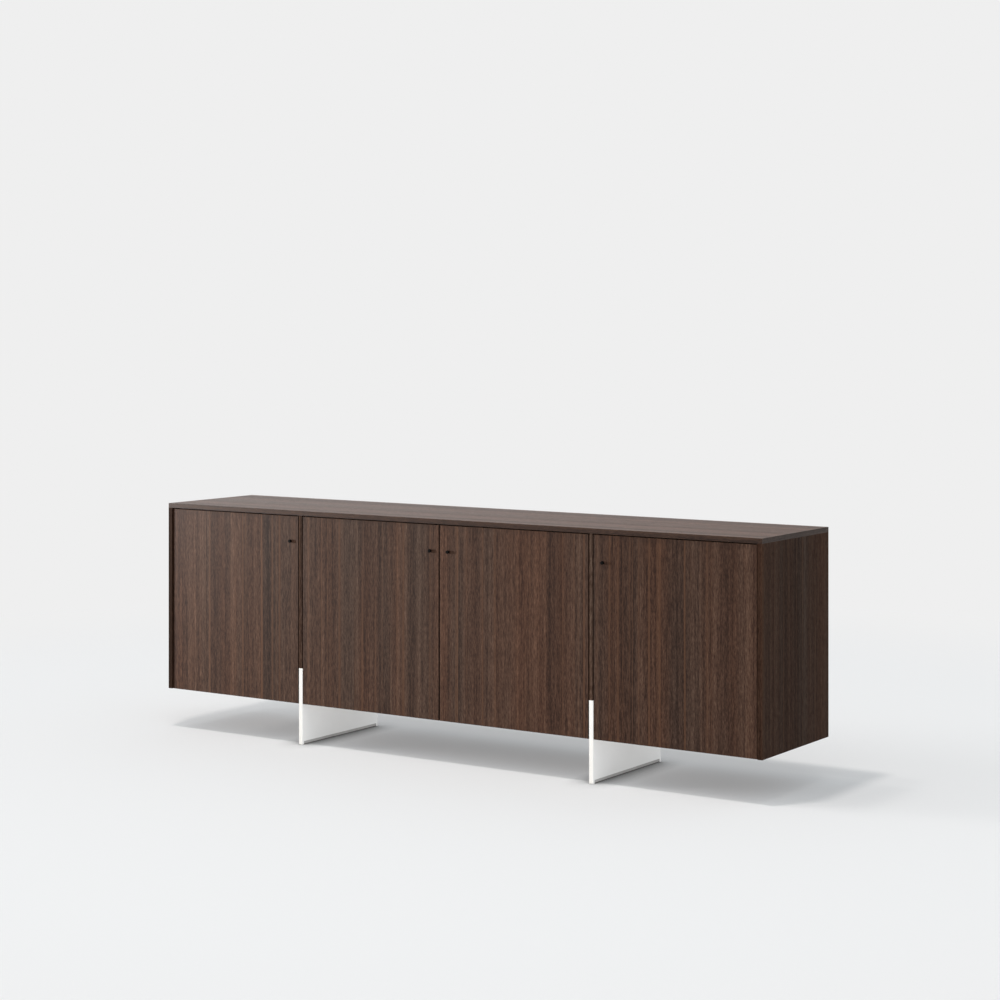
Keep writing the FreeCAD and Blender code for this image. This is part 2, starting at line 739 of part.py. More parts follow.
doc.recompute()
for thing in doc.Objects:
    if "Invalid" in thing.State or "Error" in thing.State:
        raise ValueError(f"{thing.Label} failed: {thing.State}")
for label, thing in nodes.items():
    if thing.Shape.isNull() or not thing.Shape.isValid() or not thing.Shape.Solids:
        raise ValueError(f"{label} has no valid solid")

os.makedirs("parts", exist_ok=True)
for label, thing in nodes.items():
    solids = thing.Shape.Solids
    shape = solids[0] if len(solids) == 1 else Part.makeCompound(solids)
    shape.exportStep(f"parts/{label}.step")
whole = Part.makeCompound([thing.Shape for thing in nodes.values()]).BoundBox
print(f"{len(nodes)} nodes, {whole.XLength:.1f} x {whole.YLength:.1f} x {whole.ZLength:.1f} mm")
print(f"Y from {whole.YMin:.2f} to {whole.YMax:.2f}, Z from {whole.ZMin:.2f}")
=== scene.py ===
import json
import math

import bmesh
import bpy
from mathutils import Matrix, Vector


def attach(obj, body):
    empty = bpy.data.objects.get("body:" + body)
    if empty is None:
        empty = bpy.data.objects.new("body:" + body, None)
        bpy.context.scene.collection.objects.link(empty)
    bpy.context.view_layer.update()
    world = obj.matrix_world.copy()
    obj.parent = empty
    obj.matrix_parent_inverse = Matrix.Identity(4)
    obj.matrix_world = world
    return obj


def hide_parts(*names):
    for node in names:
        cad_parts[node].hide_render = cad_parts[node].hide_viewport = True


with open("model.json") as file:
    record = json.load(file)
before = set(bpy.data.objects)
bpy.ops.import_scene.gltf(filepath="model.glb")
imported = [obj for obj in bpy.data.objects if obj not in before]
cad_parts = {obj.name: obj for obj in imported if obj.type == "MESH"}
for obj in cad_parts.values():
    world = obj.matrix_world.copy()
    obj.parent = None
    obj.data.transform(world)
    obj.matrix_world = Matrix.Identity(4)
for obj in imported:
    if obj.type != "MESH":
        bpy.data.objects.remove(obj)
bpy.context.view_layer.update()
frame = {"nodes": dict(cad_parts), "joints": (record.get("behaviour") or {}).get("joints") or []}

nodes = frame["nodes"]
bpy.ops.object.select_all(action="DESELECT")


# Upright boards
# The two sides and the two partitions are thin boards faced with straight-grained dark brown
# veneer. The grain stands upright, the edges wear a thin veneer band of their own, and dowels
# hold the boards to the top and the bottom. The sides get a darker, cooler copy of the veneer,
# and their front edges are darkened, the left one most, all painted shade; the front edges of
# the partitions are lightened, as painted light.
def add_node(tree, kind, x, y, **settings):
    made = tree.nodes.new(kind)
    made.location = (x, y)
    for name, value in settings.items():
        setattr(made, name, value)
    return made


def map_range(tree, x, y, span, results=(0.0, 1.0)):
    made = add_node(tree, "ShaderNodeMapRange", x, y)
    made.inputs["From Min"].default_value, made.inputs["From Max"].default_value = span
    made.inputs["To Min"].default_value, made.inputs["To Max"].default_value = results
    return made


NOISE_ROUGHNESS = 0.55


def stretched_noise(tree, vector, scale, detail, y):
    mapping = add_node(tree, "ShaderNodeMapping", -500, y)
    mapping.inputs["Scale"].default_value = scale
    noise = add_node(tree, "ShaderNodeTexNoise", -300, y)
    noise.inputs["Scale"].default_value = 1.0
    noise.inputs["Detail"].default_value = detail
    noise.inputs["Roughness"].default_value = NOISE_ROUGHNESS
    tree.links.new(vector, mapping.inputs["Vector"])
    tree.links.new(mapping.outputs["Vector"], noise.inputs["Vector"])
    return noise


# Each layer has its scale (twice across the grain, once along it), its detail, and its weight or span.
WANDER_SCALE = (2.0, 2.0, 0.6)
WANDER_DETAIL = 1.0
WANDER_REACH = (0.010, 0.010, 0.0)
BROAD_BANDS = ((16.0, 16.0, 0.15), 2.0, 0.70)
FINE_LINES = ((80.0, 80.0, 0.6), 3.0, 0.95)
SHORT_FLECKS = ((240.0, 240.0, 18.0), 2.0, 0.80)
SMALL_SPECKS = ((400.0, 400.0, 75.0), 2.0, 1.20)
WARM_DRIFT = ((9.0, 9.0, 0.3), 3.0, (0.36, 0.64))
PALE_STREAKS = ((88.0, 88.0, 0.10), 1.0, (0.58, 0.72))
OPEN_PORES = ((1250.0, 1250.0, 45.0), 1.0, (0.60, 0.70))
MIDDLE = 0.5


def straight_grain():
    tree = bpy.data.node_groups.new("straight_grain", "ShaderNodeTree")
    tree.interface.new_socket("Vector", in_out="INPUT", socket_type="NodeSocketVector")
    tree.interface.new_socket("Contrast", in_out="INPUT", socket_type="NodeSocketFloat")
    for name in ("Tone", "Warmth", "Stripes", "Pores", "Height"):
        tree.interface.new_socket(name, in_out="OUTPUT", socket_type="NodeSocketFloat")
    start = add_node(tree, "NodeGroupInput", -1300, 0)
    end = add_node(tree, "NodeGroupOutput", 900, 0)
    link = tree.links.new

    wander = stretched_noise(tree, start.outputs["Vector"], WANDER_SCALE, WANDER_DETAIL, 700)
    sway = add_node(tree, "ShaderNodeVectorMath", -900, 300, operation="MULTIPLY_ADD")
    sway.inputs[1].default_value = WANDER_REACH
    link(wander.outputs["Color"], sway.inputs[0])
    link(start.outputs["Vector"], sway.inputs[2])
    where = sway.outputs["Vector"]

    total = None
    layers = (BROAD_BANDS, FINE_LINES, SHORT_FLECKS, SMALL_SPECKS)
    for (scale, detail, weight), y in zip(layers, (450, 200, -50, -300)):
        noise = stretched_noise(tree, where, scale, detail, y)
        centred = add_node(tree, "ShaderNodeMath", -100, y, operation="SUBTRACT")
        centred.inputs[1].default_value = MIDDLE
        weighed = add_node(tree, "ShaderNodeMath", 100, y, operation="MULTIPLY_ADD")
        weighed.inputs[1].default_value = weight
        weighed.inputs[2].default_value = 0.0
        link(noise.outputs["Fac"], centred.inputs[0])
        link(centred.outputs[0], weighed.inputs[0])
        if total is not None:
            link(total.outputs[0], weighed.inputs[2])
        total = weighed
    tone = add_node(tree, "ShaderNodeMath", 400, 300, operation="MULTIPLY_ADD")
    tone.inputs[2].default_value = MIDDLE
    link(total.outputs[0], tone.inputs[0])
    link(start.outputs["Contrast"], tone.inputs[1])
    link(tone.outputs[0], end.inputs["Tone"])

    masks = {}
    for name, (scale, detail, span), y in (
            ("Warmth", WARM_DRIFT, -600),
            ("Stripes", PALE_STREAKS, -850),
            ("Pores", OPEN_PORES, -1100)):
        noise = stretched_noise(tree, where, scale, detail, y)
        masks[name] = map_range(tree, 100, y, span)
        link(noise.outputs["Fac"], masks[name].inputs["Value"])
        link(masks[name].outputs["Result"], end.inputs[name])
    height = add_node(tree, "ShaderNodeMath", 600, -300, operation="SUBTRACT")
    link(tone.outputs[0], height.inputs[0])
    link(masks["Pores"].outputs["Result"], height.inputs[1])
    link(height.outputs[0], end.inputs["Height"])
    return tree


def faces_along(tree, normal, axis, sense, limit, y):
    facing = add_node(tree, "ShaderNodeVectorMath", -1300, y, operation="DOT_PRODUCT")
    facing.inputs[1].default_value = axis
    size = add_node(tree, "ShaderNodeMath", -1100, y, operation="ABSOLUTE")
    answer = add_node(tree, "ShaderNodeMath", -950, y, operation=sense)
    answer.inputs[1].default_value = limit
    tree.links.new(normal, facing.inputs[0])
    tree.links.new(facing.outputs["Value"], size.inputs[0])
    tree.links.new(size.outputs[0], answer.inputs[0])
    return answer.outputs[0]


grain_group = straight_grain()
UPRIGHT = (0.0, 0.0, 0.0)
FRONT_TO_BACK = (math.radians(90.0), 0.0, 0.0)
ALONG_Y = (0.0, 1.0, 0.0)
ALONG_Z = (0.0, 0.0, 1.0)
END_LIMIT = 0.7
EDGE_LIMIT = 0.5
COOL_TINT = (0.93, 0.99, 0.98, 1.0)
WARM_TINT = (1.14, 0.99, 0.85, 1.0)
STREAK_TINT = (2.05, 1.80, 1.38)
STREAK_SHARE = 0.70
PORE_TINT = (0.55, 0.50, 0.48, 1.0)
SHINE_SPAN = (0.2, 0.8)
SHINE_CHANGE = 0.05
GRAIN_RELIEF = 0.10
GRAIN_DEPTH = 0.0004


def veneer(name, grain, band_grain, along, tones, shine, index, contrast=1.0, painted_edge_shading=None):
    made = bpy.data.materials.new(name)
    made.use_nodes = True
    tree = made.node_tree
    link = tree.links.new
    shader = tree.nodes["Principled BSDF"]
    place = add_node(tree, "ShaderNodeTexCoord", -1500, 0)
    face = add_node(tree, "ShaderNodeMapping", -1300, 200)
    face.inputs["Rotation"].default_value = grain
    edge = add_node(tree, "ShaderNodeMapping", -1300, -200)
    edge.inputs["Rotation"].default_value = band_grain
    is_end = faces_along(tree, place.outputs["Normal"], along, "GREATER_THAN", END_LIMIT, -550)
    chosen = add_node(tree, "ShaderNodeMix", -900, 100, data_type="VECTOR")
    link(place.outputs["Object"], face.inputs["Vector"])
    link(place.outputs["Object"], edge.inputs["Vector"])
    link(is_end, chosen.inputs["Factor"])
    link(face.outputs["Vector"], chosen.inputs["A"])
    link(edge.outputs["Vector"], chosen.inputs["B"])
    figure = add_node(tree, "ShaderNodeGroup", -700, 100, node_tree=grain_group)
    figure.inputs["Contrast"].default_value = contrast
    link(chosen.outputs["Result"], figure.inputs["Vector"])

    ramp = add_node(tree, "ShaderNodeValToRGB", -500, 250)
    stops = ramp.color_ramp.elements
    while len(stops) < len(tones):
        stops.new(MIDDLE)
    for stop, (at, colour) in zip(stops, tones):
        stop.position = at
        stop.color = (*colour, 1.0)
    hue = add_node(tree, "ShaderNodeMix", -500, 600, data_type="RGBA")
    hue.inputs["A"].default_value = COOL_TINT
    hue.inputs["B"].default_value = WARM_TINT
    tinted = add_node(tree, "ShaderNodeMix", -200, 600, data_type="RGBA", blend_type="MULTIPLY")
    tinted.inputs["Factor"].default_value = 1.0
    link(figure.outputs["Tone"], ramp.inputs["Fac"])
    link(figure.outputs["Warmth"], hue.inputs["Factor"])
    link(ramp.outputs["Color"], tinted.inputs["A"])
    link(hue.outputs["Result"], tinted.inputs["B"])

    middle_tone = tones[2][1]
    pale_streak = add_node(tree, "ShaderNodeMath", -200, 900, operation="MULTIPLY")
    pale_streak.inputs[1].default_value = STREAK_SHARE
    striped = add_node(tree, "ShaderNodeMix", 0, 600, data_type="RGBA")
    striped.inputs["B"].default_value = (
        *(tint * part for tint, part in zip(STREAK_TINT, middle_tone)), 1.0)
    filled = add_node(tree, "ShaderNodeMix", 200, 250, data_type="RGBA", blend_type="MULTIPLY")
    filled.inputs["B"].default_value = PORE_TINT
    link(figure.outputs["Stripes"], pale_streak.inputs[0])
    link(pale_streak.outputs[0], striped.inputs["Factor"])
    link(tinted.outputs["Result"], striped.inputs["A"])
    link(striped.outputs["Result"], filled.inputs["A"])
    link(figure.outputs["Pores"], filled.inputs["Factor"])
    colour = filled.outputs["Result"]
    # Faces along the given axis get their colour multiplied: painted shade on door, side and top edges,
    # painted light on partition edges.
    if painted_edge_shading:
        axis, sense, shade = painted_edge_shading
        is_edge = faces_along(tree, place.outputs["Normal"], axis, sense, EDGE_LIMIT, -800)
        edge_light_and_shade = add_node(tree, "ShaderNodeMix", 400, 250, data_type="RGBA", blend_type="MULTIPLY")
        edge_light_and_shade.inputs["B"].default_value = (*shade, 1.0)
        link(is_edge, edge_light_and_shade.inputs["Factor"])
        link(colour, edge_light_and_shade.inputs["A"])
        colour = edge_light_and_shade.outputs["Result"]
    link(colour, shader.inputs["Base Color"])

    sheen = map_range(tree, -200, 0, SHINE_SPAN, (shine + SHINE_CHANGE, shine - SHINE_CHANGE))
    relief = add_node(tree, "ShaderNodeBump", -200, -250)
    relief.inputs["Strength"].default_value = GRAIN_RELIEF
    relief.inputs["Distance"].default_value = GRAIN_DEPTH
    link(figure.outputs["Tone"], sheen.inputs["Value"])
    link(sheen.outputs["Result"], shader.inputs["Roughness"])
    link(figure.outputs["Height"], relief.inputs["Height"])
    link(relief.outputs["Normal"], shader.inputs["Normal"])
    shader.inputs["IOR"].default_value = index
    return made


def shift_tones(tones, tint):
    return tuple((at, tuple(share * part for share, part in zip(tint, colour))) for at, colour in tones)


def finish_nodes(material, *names):
    for name in names:
        nodes[name].data.materials.clear()
        nodes[name].data.materials.append(material)


VENEER_TONES = (
    (0.00, (0.0158, 0.0070, 0.0047)),
    (0.28, (0.0316, 0.0154, 0.0104)),
    (0.50, (0.0522, 0.0276, 0.0193)),
    (0.74, (0.0780, 0.0434, 0.0308)),
    (1.00, (0.1200, 0.0716, 0.0520)),
)
CASE_SHINE = 0.46
CASE_INDEX = 1.07
# Painted light: the partitions' front edges are lightened.
PARTITION_EDGE_LIGHT = (1.22, 1.38, 1.48)
# Painted shade: the sides' veneer is made darker and cooler than that of the doors and partitions.
SIDE_SHADE_TINT = (0.87, 0.93, 0.97)
SIDE_CONTRAST = 0.72
# Painted shade: the sides' front edges are darkened, the left one much more than the right.
SIDE_EDGE_SHADES = {"left": (0.45, 0.45, 0.45), "right": (0.90, 0.90, 0.90)}
upright_veneer = veneer(
    "upright_veneer", UPRIGHT, FRONT_TO_BACK, ALONG_Z, VENEER_TONES, CASE_SHINE, CASE_INDEX,
    painted_edge_shading=(ALONG_Y, "GREATER_THAN", PARTITION_EDGE_LIGHT))
finish_nodes(upright_veneer, "left_partition", "right_partition")
for side, edge_shade in SIDE_EDGE_SHADES.items():
    side_veneer = veneer(
        f"{side}_side_veneer", UPRIGHT, FRONT_TO_BACK, ALONG_Z, shift_tones(VENEER_TONES, SIDE_SHADE_TINT),
        CASE_SHINE, CASE_INDEX, SIDE_CONTRAST, painted_edge_shading=(ALONG_Y, "GREATER_THAN", edge_shade))
    finish_nodes(side_veneer, f"{side}_side_panel")


# Top and bottom
# The top lies over the sides and partitions, and the bottom hangs between the sides. Both are the
# same veneered board with the grain along the length, pegged to the uprights by dowels. Their broad
# faces get a lighter copy of the veneer, painted light for the sheen on the top, and their edges are
# darkened, as painted shade.
LENGTHWISE = (0.0, math.radians(90.0), 0.0)
ALONG_X = (1.0, 0.0, 0.0)
# Painted light on the broad faces, and painted shade on the edges, of the top and bottom.
TOP_FACE_LIGHT = (1.58, 1.58, 1.58)
TOP_EDGE_SHADE = (0.44, 0.44, 0.44)
TOP_SHINE = 0.42
TOP_INDEX = 1.25
TOP_CONTRAST = 0.8
lengthwise_veneer = veneer(
    "lengthwise_veneer", LENGTHWISE, FRONT_TO_BACK, ALONG_X, shift_tones(VENEER_TONES, TOP_FACE_LIGHT),
    TOP_SHINE, TOP_INDEX, TOP_CONTRAST, painted_edge_shading=(ALONG_Z, "LESS_THAN", TOP_EDGE_SHADE))
finish_nodes(lengthwise_veneer, "top_panel", "bottom_panel")


# Back panel and shelves
# The back is a thin veneered sheet screwed into its rebate. Each compartment has one loose shelf,
# veneered on its faces and its front edge, in the same dark brown but flatter.
INSIDE_TINT = (0.9, 0.9, 0.9)
INSIDE_SHINE = 0.56
inside_veneer = veneer(
    "inside_veneer", LENGTHWISE, FRONT_TO_BACK, ALONG_X, shift_tones(VENEER_TONES, INSIDE_TINT),
    INSIDE_SHINE, CASE_INDEX)
finish_nodes(inside_veneer, "back_panel", "left_shelf", "centre_shelf", "right_shelf")


# Dowels
# Beech pegs glued into the ends of the boards, where they hold the case together. They are pale,
# close-grained and dull.
DOWEL_TONES = (
    (0.0, (0.42, 0.28, 0.17)),
    (0.3, (0.48, 0.33, 0.21)),
    (0.5, (0.52, 0.36, 0.23)),
    (1.0, (0.62, 0.45, 0.30)),
)
DOWEL_SHINE = 0.65
DOWEL_INDEX = 1.2
dowel_beech = veneer(
    "dowel_beech", UPRIGHT, FRONT_TO_BACK, ALONG_Z, DOWEL_TONES, DOWEL_SHINE, DOWEL_INDEX)
finish_nodes(dowel_beech, "carcass_dowels")


# Leg plates
# Two L-shaped steel plates, powder coated white. The front horn rises between the doors, and the
# welded flanges are screwed up into the bottom. The coat has a fine orange peel.
MOTTLE_SPAN = (0.3, 0.7)
BLOTCH_SCALE = 14.0
BLOTCH_DETAIL = 4.0
RUB_SCALE = 55.0
RUB_DETAIL = 5.0
RUB_CHANGE = 0.05
PEEL_DETAIL = 2.0
PEEL_RELIEF = 0.12


def mottle(tree, vector, scale, detail, results, y):
    noise = add_node(tree, "ShaderNodeTexNoise", -700, y)
    noise.inputs["Scale"].default_value = scale
    noise.inputs["Detail"].default_value = detail
    spread = map_range(tree, -500, y, MOTTLE_SPAN, results)
    tree.links.new(vector, noise.inputs["Vector"])
    tree.links.new(noise.outputs["Fac"], spread.inputs["Value"])
    return spread.outputs["Result"]


def coated(name, light, dark, rough, peel, peel_depth, metallic=0.0, gloss=0.5):
    made = bpy.data.materials.new(name)
    made.use_nodes = True
    tree = made.node_tree
    link = tree.links.new
    shader = tree.nodes["Principled BSDF"]
    place = add_node(tree, "ShaderNodeTexCoord", -1000, 0)
    where = place.outputs["Object"]
    blotch = mottle(tree, where, BLOTCH_SCALE, BLOTCH_DETAIL, (0.0, 1.0), 250)
    colour = add_node(tree, "ShaderNodeMix", -200, 250, data_type="RGBA")
    colour.inputs["A"].default_value = (*dark, 1.0)
    colour.inputs["B"].default_value = (*light, 1.0)
    rubbed = mottle(tree, where, RUB_SCALE, RUB_DETAIL, (rough - RUB_CHANGE, rough + RUB_CHANGE), 0)
    skin = mottle(tree, where, peel, PEEL_DETAIL, (0.0, 1.0), -250)
    relief = add_node(tree, "ShaderNodeBump", -200, -250)
    relief.inputs["Strength"].default_value = PEEL_RELIEF
    relief.inputs["Distance"].default_value = peel_depth
    link(blotch, colour.inputs["Factor"])
    link(colour.outputs["Result"], shader.inputs["Base Color"])
    link(rubbed, shader.inputs["Roughness"])
    link(skin, relief.inputs["Height"])
    link(relief.outputs["Normal"], shader.inputs["Normal"])
    shader.inputs["Metallic"].default_value = metallic
    shader.inputs["Specular IOR Level"].default_value = gloss
    return made


white_coat = coated(
    "white_coat", (0.885, 0.882, 0.870), (0.865, 0.862, 0.850),
    rough=0.42, peel=900.0, peel_depth=0.0002, gloss=0.3)
finish_nodes(white_coat, "left_leg_plate", "right_leg_plate")


# Glide strips
# A low strip of dense grey felt, pressed into a rebate in the foot of each plate. It keeps the steel
# off the floor, and its lowest few millimetres are darkened, a painted contact shadow at the floor.
# Painted shade: a dark band at the foot of the strip stands in for its contact shadow.
CONTACT_SHADE_HEIGHTS = (0.0020, 0.0034)
CONTACT_SHADE_TINT = (0.24, 0.23, 0.22, 1.0)
grey_felt = coated(
    "grey_felt", (0.47, 0.46, 0.45), (0.40, 0.39, 0.38),
    rough=0.9, peel=2600.0, peel_depth=0.0006, gloss=0.15)
tree = grey_felt.node_tree
felt = tree.nodes["Principled BSDF"]
unshaded_felt = felt.inputs["Base Color"].links[0].from_socket
place = add_node(tree, "ShaderNodeTexCoord", -1000, 600)
axes = add_node(tree, "ShaderNodeSeparateXYZ", -800, 600)
contact_shade_mask = map_range(tree, -600, 600, CONTACT_SHADE_HEIGHTS, (1.0, 0.0))
painted_contact_shade = add_node(tree, "ShaderNodeMix", 0, 450, data_type="RGBA", blend_type="MULTIPLY")
painted_contact_shade.inputs["B"].default_value = CONTACT_SHADE_TINT
tree.links.new(place.outputs["Object"], axes.inputs["Vector"])
tree.links.new(axes.outputs["Z"], contact_shade_mask.inputs["Value"])
tree.links.new(contact_shade_mask.outputs["Result"], painted_contact_shade.inputs["Factor"])
tree.links.new(unshaded_felt, painted_contact_shade.inputs["A"])
tree.links.new(painted_contact_shade.outputs["Result"], felt.inputs["Base Color"])
finish_nodes(grey_felt, "left_glide_strip", "right_glide_strip")


# Screws
# Zinc-plated steel screws with a domed pan head and a cross recess. They fix the legs, the back panel,
# the knobs and the hinges, and each sits in a hole drilled for it.
LEFT = Vector((-1.0, 0.0, 0.0))
RIGHT = Vector((1.0, 0.0, 0.0))
FORWARD = Vector((0.0, -1.0, 0.0))
UP = Vector((0.0, 0.0, 1.0))
SAME_PLACE = 0.00002
NEARLY_UPRIGHT = 0.9
ROUND_ANGLE = math.radians(35.0)
zinc = coated(
    "zinc", (0.60, 0.61, 0.62), (0.48, 0.49, 0.50),
    rough=0.36, peel=1500.0, peel_depth=0.0001, metallic=1.0)
new_pieces = []


def pick(piece, kind, test):
    bpy.ops.mesh.select_mode(type={"faces": "FACE", "edges": "EDGE"}[kind])
    bpy.ops.mesh.select_all(action="DESELECT")
    mesh = bmesh.from_edit_mesh(piece.data)
    for part in getattr(mesh, kind):
        if test(part):
            part.select_set(True)
    mesh.select_flush_mode()
    bmesh.update_edit_mesh(piece.data)


def level_edge(height):
    def test(edge):
        return all(abs(corner.co.z - height) < SAME_PLACE for corner in edge.verts)
    return test


def looks_up(face):
    return face.normal.z > NEARLY_UPRIGHT


def draw_out(distance):
    bpy.ops.mesh.extrude_region_move(TRANSFORM_OT_translate={"value": (0.0, 0.0, distance)})


def start_round(name, radius, low, high, sides):
    bpy.ops.object.select_all(action="DESELECT")
    bpy.ops.mesh.primitive_cylinder_add(
        vertices=sides, radius=radius, depth=high - low, location=(0.0, 0.0, (low + high) / 2))
    bpy.ops.object.transform_apply(location=True, rotation=True, scale=True)
    made = bpy.context.object
    made.name = name
    bpy.ops.object.mode_set(mode="EDIT")
    return made


SCREW_SIDES = 24
STRAIGHT_SHARE = 0.8
POINT_SHARE = 0.2
POINT_WIDTH = 0.35
HEAD_ROUND = 0.62
HEAD_STEPS = 4
RECESS_LENGTH = 0.56
RECESS_WIDTH = 0.11
RECESS_DEPTH = 1.1


def pan_screw(name, head, height, shank, length):
    screw = start_round(name, head / 2, -height, 0.0, SCREW_SIDES)
    pick(screw, "faces", looks_up)
    bpy.ops.mesh.inset(thickness=(head - shank) / 2)
    draw_out(STRAIGHT_SHARE * length)
    draw_out(POINT_SHARE * length)
    bpy.ops.transform.resize(value=(POINT_WIDTH, POINT_WIDTH, 1.0), center_override=(0.0, 0.0, length))
    pick(screw, "edges", level_edge(-height))
    bpy.ops.mesh.bevel(offset=HEAD_ROUND * height, segments=HEAD_STEPS, affect="EDGES")
    bpy.ops.object.mode_set(mode="OBJECT")
    for turn in (0.0, 90.0):
        bpy.ops.object.select_all(action="DESELECT")
        bpy.ops.mesh.primitive_cube_add(
            size=1.0, location=(0.0, 0.0, -height), rotation=(0.0, 0.0, math.radians(turn)))
        blade = bpy.context.object
        blade.scale = (RECESS_LENGTH * head, RECESS_WIDTH * head, RECESS_DEPTH * height)
        bpy.context.view_layer.objects.active = screw
        recess = screw.modifiers.new("recess", "BOOLEAN")
        recess.operation = "DIFFERENCE"
        recess.object = blade
        bpy.ops.object.modifier_apply(modifier="recess")
        bpy.data.objects.remove(blade)
    screw.select_set(True)
    bpy.ops.object.shade_smooth_by_angle(angle=ROUND_ANGLE)
    screw.data.materials.append(zinc)
    return screw


def set_out(master, name, places):
    copies = []
    for place in places:
        copy = master.copy()
        copy.data = master.data.copy()
        bpy.context.collection.objects.link(copy)
        copy.matrix_world = place
        copies.append(copy)
    bpy.ops.object.select_all(action="DESELECT")
    for copy in copies:
        copy.select_set(True)
    bpy.context.view_layer.objects.active = copies[0]
    if len(copies) > 1:
        bpy.ops.object.join()
    bpy.ops.object.transform_apply(location=True, rotation=True, scale=True)
    whole = bpy.context.object
    whole.name = name
    new_pieces.append(whole)
    return whole


def stand(x, y, z, along):
    return Matrix.Translation((x, y, z)) @ along.to_track_quat("Z", "Y").to_matrix().to_4x4()


def box(name):
    columns = list(zip(*(vertex.co for vertex in nodes[name].data.vertices)))
    return Vector([min(column) for column in columns]), Vector([max(column) for column in columns])


def centre(name):
    low, high = box(name)
    return (low + high) / 2


# Each door's hinge pivot along the front, and the way from it to the board that it hangs on.
DOORS = {}
for joint in frame["joints"]:
    pivot_x = joint["pos_m"][0]
    DOORS[joint["child"].removesuffix("_leaf")] = (pivot_x, LEFT if pivot_x < 0.0 else RIGHT)
HINGE_HEIGHTS = {height: centre(f"left_outer_{height}_hinge_cup").z for height in ("lower", "upper")}
DOOR_BACK = box("left_outer_door")[1].y
CUP_FACE = box("left_outer_lower_hinge_cup")[1].y
CUP_SCREW_IN = 0.0085
CUP_SCREW_STEP = 0.024
PLATE_SCREW_OUT = 0.021
PLATE_SCREW_STEP = 0.016
PLATE_SCREW_Y = centre("hinge_plate_screws").y
ARM_SCREW_OUT = 0.0168
ARM_SCREW_Y = centre("hinge_arm_screws").y
HEAD_HEIGHT = 0.002
BACK_FACE = box("back_panel")[1].y - HEAD_HEIGHT
BACK_SCREW_INSET = 0.060
partition_low, partition_high = box("right_partition")
PARTITION_X = centre("right_partition").x
BACK_SCREW_HEIGHTS = (
    partition_low.z + BACK_SCREW_INSET, centre("right_partition").z, partition_high.z - BACK_SCREW_INSET)
BACK_SCREWS_BELOW = (
    partition_low.x - BACK_SCREW_INSET, partition_high.x + BACK_SCREW_INSET,
    box("back_panel")[1].x - BACK_SCREW_INSET)
BOTTOM_MIDDLE = centre("bottom_panel").z
UNDERSIDE = box("bottom_panel")[0].z
FLANGE_DEPTHS = (-0.0855, 0.1295)
FLANGE_STEP = 0.026
wood_screw = pan_screw("wood_screw", head=0.007, height=HEAD_HEIGHT, shank=0.0035, length=0.010)
long_screw = pan_screw("long_screw", head=0.007, height=HEAD_HEIGHT, shank=0.0035, length=0.028)
leg_screw = pan_screw("leg_screw", head=0.009, height=0.0025, shank=0.005, length=0.014)
arm_bolt = pan_screw("arm_bolt", head=0.007, height=HEAD_HEIGHT, shank=0.004, length=0.006)
knob_bolt = pan_screw("knob_bolt", head=0.007, height=HEAD_HEIGHT, shank=0.004, length=0.024)
plate_places = []
arm_places = []
for door, (pivot_x, outward) in DOORS.items():
    side = outward.x
    cup_places = []
    for height in HINGE_HEIGHTS.values():
        for step in (-PLATE_SCREW_STEP, PLATE_SCREW_STEP):
            plate_places.append(
                stand(pivot_x + side * PLATE_SCREW_OUT, PLATE_SCREW_Y, height + step, outward))
        for step in (-CUP_SCREW_STEP, CUP_SCREW_STEP):
            cup_places.append(stand(pivot_x - side * CUP_SCREW_IN, CUP_FACE, height + step, FORWARD))
        arm_places.append(stand(pivot_x + side * ARM_SCREW_OUT, ARM_SCREW_Y, height, outward))
    cup_screws = set_out(wood_screw, f"{door}_cup_screws_cross", cup_places)
    knob_at = centre(f"{door}_knob_screw")
    knob_screw = set_out(
        knob_bolt, f"{door}_knob_screw_cross", [stand(knob_at.x, DOOR_BACK, knob_at.z, FORWARD)])
    for piece, node in ((cup_screws, f"{door}_cup_screws"), (knob_screw, f"{door}_knob_screw")):
        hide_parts(node)
        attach(piece, f"{door}_leaf")
back_places = [
    stand(x, BACK_FACE, z, FORWARD) for x in (-PARTITION_X, PARTITION_X) for z in BACK_SCREW_HEIGHTS]
for x in BACK_SCREWS_BELOW:
    back_places.append(stand(x, BACK_FACE, BOTTOM_MIDDLE, FORWARD))
    back_places.append(stand(-x, BACK_FACE, BOTTOM_MIDDLE, FORWARD))
leg_places = [
    stand(side * PARTITION_X + step, y, UNDERSIDE, UP)
    for side in (-1.0, 1.0) for y in FLANGE_DEPTHS for step in (-FLANGE_STEP, FLANGE_STEP)]
for master, node, places in (
        (wood_screw, "hinge_plate_screws", plate_places), (arm_bolt, "hinge_arm_screws", arm_places),
        (long_screw, "back_panel_screws", back_places), (leg_screw, "leg_screws", leg_places)):
    piece = set_out(master, f"{node}_cross", places)
    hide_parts(node)
    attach(piece, "carcass")
for master in (wood_screw, long_screw, leg_screw, arm_bolt, knob_bolt):
    bpy.data.objects.remove(master)


